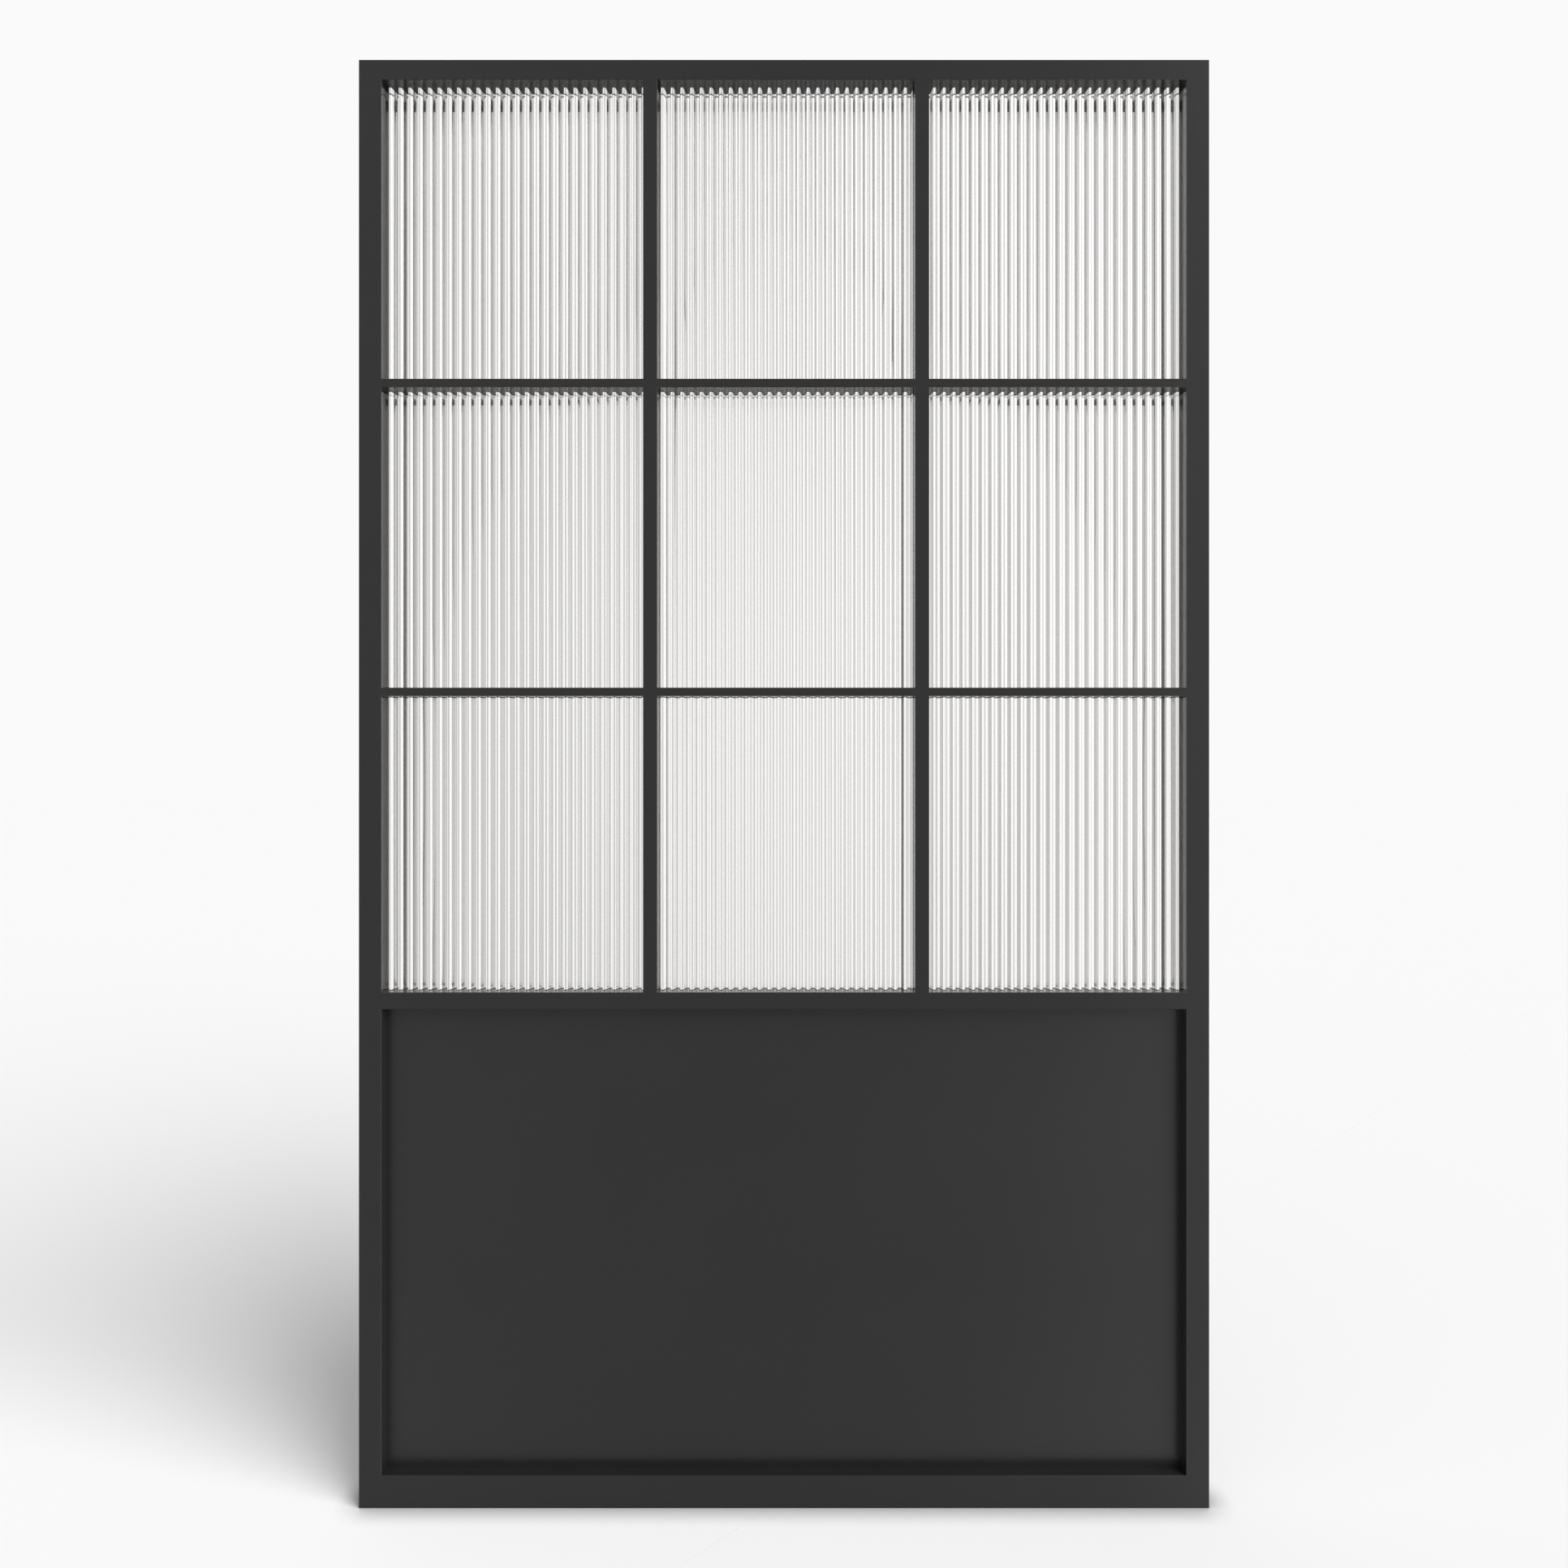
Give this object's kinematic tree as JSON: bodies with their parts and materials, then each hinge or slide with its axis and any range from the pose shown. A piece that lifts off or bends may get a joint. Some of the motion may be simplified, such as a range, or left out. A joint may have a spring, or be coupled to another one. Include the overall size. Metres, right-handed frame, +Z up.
{
  "type": "interior glass partition",
  "caption": "Fixed interior partition: a slim black frame with a grid of deep fluted glass panes above a plain recessed kick panel.",
  "frame": {"origin": "on the floor, under the middle of the frame's width and depth", "axes": "+X to the right seen from the front, +Y from the front to the back, +Z up; the ribbed glass faces look along -Y"},
  "size_m": [1.2, 0.044, 2.044],
  "materials": {
    "frame_paint": "fine matt black powder coat",
    "panel_paint": "fine matt black powder coat on a flat sheet",
    "fluted_glass": "clear deep-fluted glass, fire polished, ribs on the front",
    "glazing_tape": "black closed-cell glazing tape"
  },
  "bodies": {
    "root": {"left_stile": "frame_paint", "right_stile": "frame_paint", "top_rail": "frame_paint", "mid_rail": "frame_paint", "bottom_rail": "frame_paint", "left_mullion": "frame_paint", "right_mullion": "frame_paint", "upper_left_muntin": "frame_paint", "lower_left_muntin": "frame_paint", "upper_centre_muntin": "frame_paint", "lower_centre_muntin": "frame_paint", "upper_right_muntin": "frame_paint", "lower_right_muntin": "frame_paint", "top_left_pane": "fluted_glass", "top_centre_pane": "fluted_glass", "top_right_pane": "fluted_glass", "middle_left_pane": "fluted_glass", "middle_centre_pane": "fluted_glass", "middle_right_pane": "fluted_glass", "bottom_left_pane": "fluted_glass", "bottom_centre_pane": "fluted_glass", "bottom_right_pane": "fluted_glass", "top_left_tape": "glazing_tape", "top_centre_tape": "glazing_tape", "top_right_tape": "glazing_tape", "middle_left_tape": "glazing_tape", "middle_centre_tape": "glazing_tape", "middle_right_tape": "glazing_tape", "bottom_left_tape": "glazing_tape", "bottom_centre_tape": "glazing_tape", "bottom_right_tape": "glazing_tape", "kick_panel": "panel_paint"}
  },
  "joints": []
}
